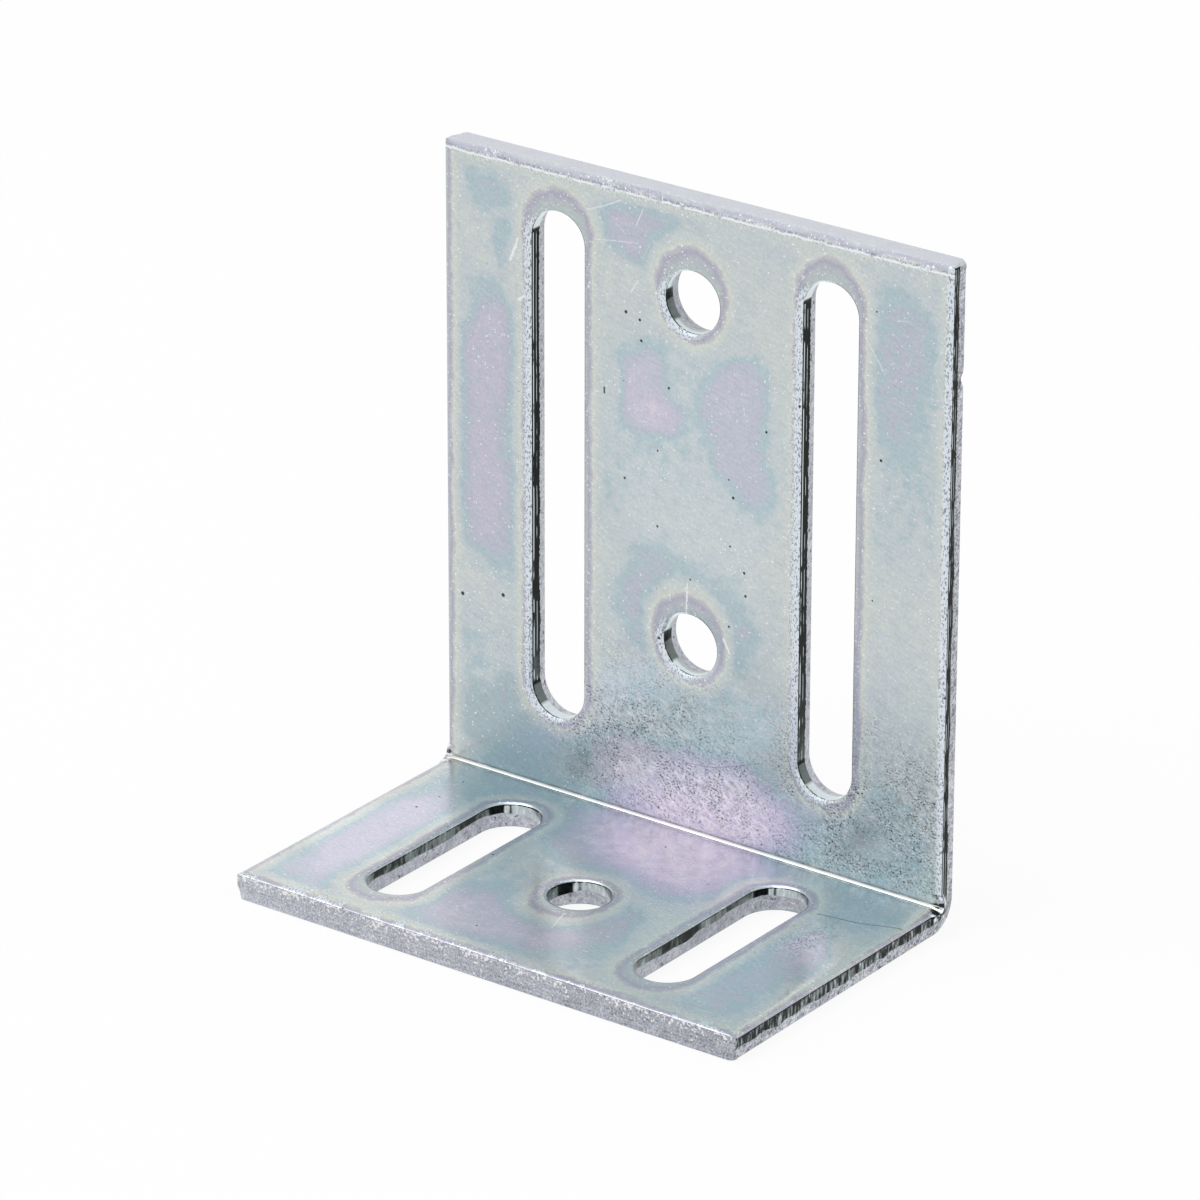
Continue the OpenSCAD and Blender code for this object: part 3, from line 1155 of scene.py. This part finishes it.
@dataclass
class Plating:
    """The zinc over the points of the strip: its film, the painted highlights of its rims and its coarse
    skin. Sizes in mm.
    """

    u: np.ndarray
    s: np.ndarray
    d: np.ndarray
    outline: Outline
    openings: tuple
    sheet_t: float
    film_seed: int = 7
    skin_seed: int = 31
    flake_seed: int = 59
    wear_seed: int = 53
    film_reach: float = 2.45
    film_power: float = 1.4
    film_warp: float = 3.4
    film_level: float = 0.60
    film_swing: float = 0.13
    film_soft: float = 0.10
    patches: tuple = (
        Patch(-27.0, 65.0, 5.0, 6.0, 0.55),
        Patch(-28.0, 69.0, 3.2, 2.0, 0.74),
        Patch(-25.5, 64.0, 1.8, 3.5, 0.71),
        Patch(-26.6, 49.0, 4.4, 8.5, 0.86),
        Patch(-26.6, 35.0, 4.4, 10.0, 0.87),
        Patch(-8.0, 68.5, 4.5, 4.0, 0.84),
        Patch(0.0, 44.0, 11.0, 12.0, 0.64, 1.05),
        Patch(-6.5, 50.0, 3.6, 6.0, 0.86, 1.06),
        Patch(-4.0, 47.5, 3.4, 2.4, 0.91, 1.06),
        Patch(5.5, 51.0, 4.0, 5.0, 0.84, 1.05),
        Patch(6.0, 44.0, 4.0, 6.0, 0.82, 1.05),
        Patch(0.0, 36.0, 9.0, 5.0, 0.60, 1.05),
        Patch(27.0, 61.0, 4.0, 10.0, 0.77),
        Patch(26.0, 44.0, 2.6, 6.0, 0.64),
        Patch(-1.0, 27.0, 8.0, 6.0, 0.80),
        Patch(0.0, 16.0, 13.0, 5.0, 0.66, 1.18),
        Patch(1.0, 5.0, 14.0, 5.5, 0.97, 1.21),
        Patch(-22.0, 5.0, 9.0, 5.5, 0.72, 0.88),
        Patch(22.0, 8.0, 10.0, 6.5, 0.72),
        Patch(0.0, -7.0, 13.0, 8.0, 0.96, 1.07),
        Patch(-27.5, -22.0, 4.5, 15.0, 0.87, 1.20),
        Patch(-5.0, -30.5, 12.0, 6.5, 0.92, 1.04),
        Patch(26.0, -4.5, 7.0, 5.0, 0.71, 1.02),
        Patch(-22.0, -4.5, 8.0, 4.5, 0.71, 0.97),
        Patch(26.5, -16.0, 3.6, 5.5, 0.86, 1.14),
        Patch(8.0, -24.0, 3.0, 6.0, 0.80, 0.97),
        Patch(26.0, -28.0, 4.5, 8.0, 0.77, 1.01),
    )

    def layers(self) -> dict:
        """Gives what the finish reads: film, gain, painted rim highlights, distance from an edge and coarse
        skin.

        Returns:
            Layers by name.
        """
        u, s, d = self.u, self.s, self.d
        outside, grain = d > self.sheet_t - 0.01, Grain(self.skin_seed)
        rim = self.outline.distance(u, s)
        for hole in self.openings:
            rim = np.minimum(rim, hole.distance(u, s))
        border = 21.0 + 4.0 * grain.layered(u, s, 9.0, 2)
        low = np.clip((border - s) / 8.0, 0, 1) * np.clip((s - 0.6) / 2.0, 0, 1)
        peel = low * np.clip((u + 19 + 0.35 * s) / 8, 0.12, 1)
        peel = peel * np.clip(0.62 + 0.6 * grain.layered(u + 30, s, 5.0, 3), 0.1, 1)
        flank = np.exp(-(((u - 25.5) / 2.5) ** 2) - ((s + 15) / 4.0) ** 2)
        film, gain = self._film()
        return {
            "film": np.where(outside, 0.35 * film + 0.45, film),
            "gain": np.where(outside, 1.0, gain),
            "glow": np.where(d > 1.0, 0.0, self._glow()),
            "rim": np.maximum(rim, 0),
            "peel": np.clip(np.maximum(peel, 0.8 * flank), 0, 1) * np.where(outside, 0.35, 1.0),
        }

    def _film(self) -> tuple[np.ndarray, np.ndarray]:
        """Gives the film's thickness along its run of colours, and a brightness factor set by the patches.

        Returns:
            Values from 0, thin, to 1, thick, and gains about 1.
        """
        u, s, o = self.u, self.s, self.outline
        grain, warp = Grain(self.film_seed), self.film_warp
        near = np.minimum(o.half_w - u + 1.0, o.half_w + u + 0.5)
        near = np.minimum(near, np.minimum(o.s_top - s + 0.6, s - o.s_free + 0.8))
        for hole in self.openings:
            far = hole.distance(u, s)
            rise = s - np.clip(s, hole.s0, hole.s1)
            drawn = np.clip((rise if hole.s0 > 0 else -rise) / (far + hole.r), 0, 1)
            near = np.minimum(near, far * (1 - 0.35 * drawn) + 0.35 - 0.6 * drawn)
        near = np.maximum(near + 0.45 * grain.layered(u, s, 4.5, 4), 0)
        rise = 1 - np.exp(-((near / self.film_reach) ** self.film_power))
        wu = u + warp * grain.layered(u, s, 8.0, 4)
        ws = s + warp * grain.layered(s, u + 50, 8.0, 4)
        cover = self.film_level + self.film_swing * grain.layered(u, s, 12.0, 4)
        gain = np.ones(len(u))
        for patch in self.patches:
            share = patch.share(wu, ws)
            cover = cover + (patch.level - cover) * share
            gain = gain + (patch.gain - gain) * share
        soft = self.film_soft
        blend = np.maximum(soft - np.abs(rise - cover), 0)
        return np.clip(np.minimum(rise, cover) - blend**2 / (4 * soft), 0, 1), gain

    def _glow(self) -> np.ndarray:
        """Gives where the rims are painted bright: painted highlights along the right edge, on a line below
        the top end and on the hole rims that look left or down, ragged bright flakes along the top end and
        worn bright chips along the free end.

        Returns:
            Values from 0 to 1.
        """
        u, s, o = self.u, self.s, self.outline
        # painted highlight along the right edge of the tall leg
        glow = fade(o.half_w - u, 0.75) * (s > 2)
        flaked = Grain(self.flake_seed).layered(u, s, 2.6, 4)
        # painted highlight line just below the top end
        line = 0.9 * np.exp(-(((o.s_top - s - 0.85) / 0.2) ** 2))
        glow = np.maximum(glow, line)
        glow = np.maximum(glow, fade(o.s_top - s, 1.5) * np.clip(0.8 * flaked, 0, 0.45))
        # ragged bright chips worn into the free end's rim
        worn = Grain(self.wear_seed).layered(u, 0 * u, 1.7, 4)
        glow = np.maximum(glow, fade(s - o.s_free, 0.5) * np.clip(0.35 + 1.6 * worn, 0, 1))
        # painted highlight on the hole rims that look left or down
        for hole in self.openings:
            du, ds = u - hole.u, s - np.clip(s, hole.s0, hole.s1)
            size = np.maximum(np.hypot(du, ds), 1e-6)
            if hole.s0 > 0:
                lit_rim = np.clip(0.15 - 0.85 * du / size - 0.55 * ds / size, 0, 1)
            else:
                lit_rim = 0.35 * np.clip(-0.3 - du / size, 0, 1)
            glow = np.maximum(glow, lit_rim * fade(size - hole.r, 0.7))
        return glow


@dataclass
class Bracket:
    """The folded sheet: its flat pattern, its cut edges and its skin. Sizes in mm."""

    name: str = "bracket_sheet"
    fold: Fold = field(default_factory=Fold)
    outline: Outline = field(init=False)
    openings: tuple = field(init=False)
    smooth_d: float = field(init=False)
    slot_w: float = 7.0
    slot_side: float = 11.5
    tall_slot_low: float = 11.5
    tall_slot_top: float = 5.0
    short_slot_bend: float = 8.0
    short_slot_edge: float = 5.5
    hole_d: float = 7.0
    hole_low: float = 24.75
    hole_drop: float = 11.25
    short_hole_edge: float = 17.4
    smooth_share: float = 0.52
    ear_out: float = 0.45
    ear_reach: float = 1.6
    ear_band: float = 1.1
    grid: float = 0.85
    bend_grid: float = 1.8
    face_gap: float = 0.55
    cut_seed: int = 100
    sharp_angle: float = 38.0

    def __post_init__(self) -> None:
        """Works the flat pattern out from the driving sizes."""
        f, slot_r, hole_r = self.fold, self.slot_w / 2, self.hole_d / 2
        side, free_y = f.width / 2, -f.back_y
        self.smooth_d = f.sheet_t * self.smooth_share
        self.outline = Outline(side, f.short_s(free_y), f.tall_s(f.tall_h))
        x = side - self.slot_side - slot_r
        tall = (f.tall_s(self.tall_slot_low + slot_r), f.tall_s(f.tall_h - self.tall_slot_top - slot_r))
        short = (
            f.short_s(free_y + self.short_slot_edge + slot_r),
            f.short_s(f.back_y - self.short_slot_bend - slot_r),
        )
        low, high = f.tall_s(self.hole_low), f.tall_s(f.tall_h - self.hole_drop)
        middle = f.short_s(free_y + self.short_hole_edge)
        self.openings = (
            Opening(-x, *tall, slot_r), Opening(x, *tall, slot_r),
            Opening(0.0, low, low, hole_r), Opening(0.0, high, high, hole_r),
            Opening(-x, *short, slot_r), Opening(x, *short, slot_r),
            Opening(0.0, middle, middle, hole_r),
        )

    def build(self) -> bpy.types.Object:
        """Builds the sheet as one closed mesh.

        Returns:
            The sheet's object.
        """
        skin = Skin()
        tops, bottoms = [], []
        for n, edge in enumerate((self.outline, *self.openings)):
            wall = CutWall(edge, Grain(self.cut_seed + n), self.fold.sheet_t, self.smooth_d)
            top, bottom = wall.add_to(skin)
            tops.append(top)
            bottoms.append(bottom)
        self._face(skin, tops, 0.0, False)
        self._face(skin, bottoms, self.fold.sheet_t, True)
        return self._mesh(skin)

    def _face(self, skin: Skin, rings: list, depth: float, flip: bool) -> None:
        """Fills one face of the sheet between the cuts.

        Args:
            skin: Where the points and faces go.
            rings: Numbers of the points along each cut, the outer edge first.
            depth: The face's depth.
            flip: Whether the face looks the other way.
        """
        ids = np.concatenate([*rings, skin.points(self._grid_points(flip), depth)])
        u, s = np.concatenate(skin.u)[ids], np.concatenate(skin.s)[ids]
        edges, start = [], 0
        for ring in rings:
            n = len(ring)
            edges += [(start + i, start + (i + 1) % n) for i in range(n)]
            start += n
        places = [Vector(place) for place in zip(u, s)]
        out, _, faces, origin, _, _ = delaunay_2d_cdt(places, edges, [], 0, 1e-5)
        number = np.array([ids[old[0]] if old else -1 for old in origin])
        tris = np.array([f for f in faces if len(f) == 3])
        flat = np.array([(p.x, p.y) for p in out])
        inside = self._within(flat[tris].mean(1), flat, rings, number)
        tris = tris[inside & (number[tris] >= 0).all(1)]
        a, b, c = (flat[tris[:, k]] for k in range(3))
        turn = (b[:, 0] - a[:, 0]) * (c[:, 1] - a[:, 1]) - (b[:, 1] - a[:, 1]) * (c[:, 0] - a[:, 0])
        back = (turn > 0) == flip
        tris[back] = tris[back][:, ::-1]
        skin.faces(number[tris], CutBand.FACE.value)

    def _grid_points(self, flip: bool) -> np.ndarray:
        """Spreads points over a face, closer together through the bend and clear of the cuts.

        Args:
            flip: Whether it is the outside face.

        Returns:
            Rows of u, s.
        """
        o, bend = self.outline, self.bend_grid
        across = np.arange(-o.half_w + 0.5, o.half_w, self.grid)
        short = np.arange(-bend - self.grid, o.s_free, -self.grid)[::-1]
        tall = np.arange(bend + self.grid, o.s_top, self.grid)
        rows = np.concatenate([short, np.linspace(-bend, bend, 25), tall])
        u, s = (x.ravel() for x in np.meshgrid(across, rows))
        stagger = np.where(np.isin(s, rows[::2]), 0.0, self.grid / 2)
        u = u + np.where(np.abs(s) > bend + 0.1, stagger, 0.0)
        keep = np.ones(len(u), bool)
        for edge in (o, *self.openings):
            keep &= edge.distance(u, s) > (edge.lean if flip else edge.rim.reach) + self.face_gap
        return np.stack([u[keep], s[keep]], 1)

    def _within(self, mid: np.ndarray, flat: np.ndarray, rings: list, number: np.ndarray) -> np.ndarray:
        """Tells which triangle middles lie in the metal, by counting the rings round each.

        Args:
            mid: Triangle middles.
            flat: All the face's points.
            rings: Numbers of the points along each cut, the outer edge first.
            number: Number of each of the face's points.

        Returns:
            A mask of the middles in the metal.
        """
        place = {int(n): k for k, n in enumerate(number)}
        inside = np.zeros(len(mid), bool)
        for ring in rings:
            loop = flat[[place[int(n)] for n in ring]]
            low, high = loop.min(0), loop.max(0)
            near = np.where(((mid >= low) & (mid <= high)).all(1))[0]
            x, y = mid[near, 0], mid[near, 1]
            cross = np.zeros(len(near), int)
            for (x0, y0), (x1, y1) in zip(loop, np.roll(loop, -1, 0)):
                if y0 != y1:
                    spans = (y0 > y) != (y1 > y)
                    cross += spans & (x < (x1 - x0) * (y - y0) / (y1 - y0) + x0)
            inside[near[cross % 2 == 1]] ^= True
        return inside

    def _mesh(self, skin: Skin) -> bpy.types.Object:
        """Folds the strip, swells the ends of the crease and makes the object.

        Args:
            skin: The gathered points and faces.

        Returns:
            The object, in metres.
        """
        u, s, d = np.concatenate(skin.u), np.concatenate(skin.s), np.concatenate(skin.d)
        xyz, ear = self._swell(self.fold.place(u, s, d), u)
        faces, bands = [], np.concatenate(skin.bands)
        for rows in skin.polygons:
            faces.extend(map(tuple, rows.tolist()))
        mesh = bpy.data.meshes.new(self.name)
        mesh.from_pydata((xyz * MM).tolist(), [], faces)
        mesh.polygons.foreach_set("material_index", bands.astype(np.int32))
        mesh.polygons.foreach_set("use_smooth", np.ones(len(faces), bool))
        mesh.set_sharp_from_angle(angle=math.radians(self.sharp_angle))
        layers = {name: np.concatenate(values) for name, values in skin.layers.items()}
        plating = Plating(u, s, d, self.outline, self.openings, self.fold.sheet_t)
        layers.update(plating.layers(), ear=ear)
        for key, value in layers.items():
            mesh.attributes.new(key, "FLOAT", "POINT").data.foreach_set("value", value.astype(np.float32))
        flat = np.stack([u, s, d], 1).astype(np.float32).ravel()
        mesh.attributes.new("flat", "FLOAT_VECTOR", "POINT").data.foreach_set("vector", flat)
        mesh.update()
        sheet = bpy.data.objects.new(self.name, mesh)
        bpy.context.scene.collection.objects.link(sheet)
        return sheet

    def _swell(self, xyz: np.ndarray, u: np.ndarray) -> tuple[np.ndarray, np.ndarray]:
        """Squeezes metal out sideways at the ends of the crease.

        Args:
            xyz: Folded points.
            u: Their places across the strip.

        Returns:
            The moved points, and how far each is part of the swelling.
        """
        f, w = self.fold, self.outline.half_w
        corner = (f.axis_y + f.bend_r, f.axis_z - f.bend_r)
        far = np.hypot(xyz[:, 1] - corner[0], xyz[:, 2] - corner[1])
        ball = (self.ear_reach**2 + self.ear_out**2) / (2 * self.ear_out)
        dome = np.sqrt(np.maximum(ball**2 - far**2, 0)) - (ball - self.ear_out)
        push = np.maximum(dome, 0) * np.clip((np.abs(u) - (w - self.ear_band)) / self.ear_band, 0, 1)
        xyz[:, 0] += np.sign(u) * push
        return xyz, np.clip(push / (0.35 * self.ear_out), 0, 1)

    def dress(self, sheet: bpy.types.Object) -> None:
        """Gives the sheet its finishes and its place in the frame.

        Args:
            sheet: The sheet's object.
        """
        for finish in (FilmFinish(), SmoothCutFinish(), TornCutFinish()):
            sheet.data.materials.append(finish.material())
        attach(sheet, "root")
        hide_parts("bracket")


@dataclass(frozen=True)
class Lamp:
    """A soft box: where it stands and what it lights, in metres and watts."""

    name: str
    place: Triple
    size: float
    power: float


@dataclass
class Studio:
    """Pale floor, soft boxes, white surroundings and the camera."""

    target: Triple = (0.0, 0.00375, 0.037917)
    azimuth: float = 36.31
    elevation: float = 23.43
    roll: float = -0.11
    range_m: float = 0.78542
    shift_right: float = 0.001672
    shift_up: float = 0.003016
    lens: float = 225.99
    fill: float = 0.6
    sensor: float = 36.0
    clip: tuple[float, float] = (0.05, 20.0)
    floor_half: float = 2.5
    floor_drop: float = 0.00005
    floor_paint: Colour = (0.97, 0.97, 0.97, 1.0)
    floor_white: float = 0.9
    lamps: tuple = (
        Lamp("soft_box_top", (-0.35, -0.25, 1.35), 1.0, 8.0),
        Lamp("soft_box_front", (-0.72, -0.98, 0.72), 1.2, 1.2),
    )

    def build(self) -> bpy.types.Object:
        """Builds the studio.

        Returns:
            The floor.
        """
        self._surroundings()
        for lamp in self.lamps:
            self._lamp(lamp)
        self._camera()
        return self._floor()

    def _surroundings(self) -> None:
        """Makes the world white to the eye and in reflections, and softer as light."""
        world = bpy.data.worlds.new("white_room")
        bpy.context.scene.world = world
        world.use_nodes = True
        tree = world.node_tree
        tree.nodes.clear()
        path = tree.nodes.new("ShaderNodeLightPath")
        seen = self._seen(tree, path)
        level = tree.nodes.new("ShaderNodeMapRange")
        level.inputs["To Min"].default_value = self.fill
        tree.links.new(seen, level.inputs["Value"])
        light = tree.nodes.new("ShaderNodeBackground")
        light.inputs["Color"].default_value = (1, 1, 1, 1)
        tree.links.new(level.outputs[0], light.inputs["Strength"])
        out = tree.nodes.new("ShaderNodeOutputWorld")
        tree.links.new(light.outputs[0], out.inputs[0])

    @staticmethod
    def _seen(tree: bpy.types.NodeTree, path: bpy.types.Node) -> Socket:
        """Joins the rays that show a surface: from the eye, off metal and through glass.

        Args:
            tree: Where the nodes go.
            path: The node that tells rays apart.

        Returns:
            A socket that is 1 for those rays.
        """
        best = path.outputs["Is Camera Ray"]
        for name in ("Is Glossy Ray", "Is Transmission Ray"):
            node = tree.nodes.new("ShaderNodeMath")
            node.operation = "MAXIMUM"
            tree.links.new(best, node.inputs[0])
            tree.links.new(path.outputs[name], node.inputs[1])
            best = node.outputs[0]
        return best

    def _lamp(self, lamp: Lamp) -> None:
        """Hangs one soft box and turns it to the bracket.

        Args:
            lamp: The soft box.
        """
        data = bpy.data.lights.new(lamp.name, "AREA")
        data.shape, data.size, data.energy = "SQUARE", lamp.size, lamp.power
        box = bpy.data.objects.new(lamp.name, data)
        box.location = lamp.place
        box.rotation_euler = (Vector(self.target) - Vector(lamp.place)).to_track_quat("-Z", "Y").to_euler()
        bpy.context.scene.collection.objects.link(box)

    def _floor(self) -> bpy.types.Object:
        """Lays the pale floor, which shows white and keeps a soft shadow.

        Returns:
            The floor.
        """
        mesh = bpy.data.meshes.new("studio_floor")
        r, z = self.floor_half, -self.floor_drop
        mesh.from_pydata([(-r, -r, z), (r, -r, z), (r, r, z), (-r, r, z)], [], [(0, 1, 2, 3)])
        floor = bpy.data.objects.new("studio_floor", mesh)
        bpy.context.scene.collection.objects.link(floor)
        g = Graph("pale_floor")
        path = g.add("ShaderNodeLightPath")
        paint = g.add("ShaderNodeBsdfDiffuse", {"Color": self.floor_paint})
        glow = g.add("ShaderNodeEmission", {"Color": (1, 1, 1, 1), "Strength": 1.0})
        share = g.times(self._seen(g.tree, path), self.floor_white)
        both = g.add("ShaderNodeMixShader", {0: share, 1: paint.outputs[0], 2: glow.outputs[0]})
        g.add("ShaderNodeOutputMaterial", {0: both.outputs[0]})
        mesh.materials.append(g.material)
        return floor

    def _camera(self) -> None:
        """Sets the camera at the bracket's three-quarter view."""
        a, e, t = (math.radians(x) for x in (self.azimuth, self.elevation, self.roll))
        back = Vector((math.sin(a) * math.cos(e), -math.cos(a) * math.cos(e), math.sin(e)))
        right = Vector((math.cos(a), math.sin(a), 0))
        up = back.cross(right)
        place = Vector(self.target) - self.shift_right * right - self.shift_up * up + self.range_m * back
        c, s = math.cos(t), math.sin(t)
        axes = (c * right - s * up, s * right + c * up, back)
        data = bpy.data.cameras.new("camera")
        data.sensor_width, data.lens = self.sensor, self.lens
        data.clip_start, data.clip_end = self.clip
        camera = bpy.data.objects.new("camera", data)
        rows = [[axes[0][k], axes[1][k], axes[2][k], place[k]] for k in range(3)]
        camera.matrix_world = Matrix([*rows, [0, 0, 0, 1]])
        bpy.context.scene.collection.objects.link(camera)
        bpy.context.scene.camera = camera


def main() -> None:
    """Builds the bracket and the studio in order."""
    logging.basicConfig(level=logging.INFO, format="%(name)s: %(message)s")
    bpy.context.scene.view_settings.view_transform = "Standard"
    bracket = Bracket()
    sheet = bracket.build()
    bracket.dress(sheet)
    log.info("%s: %d points, %d faces", sheet.name, len(sheet.data.vertices), len(sheet.data.polygons))
    studio = Studio()
    floor = studio.build()
    log.info("%s laid, %d lamps and the camera set", floor.name, len(studio.lamps))


if __name__ == "__main__":
    main()
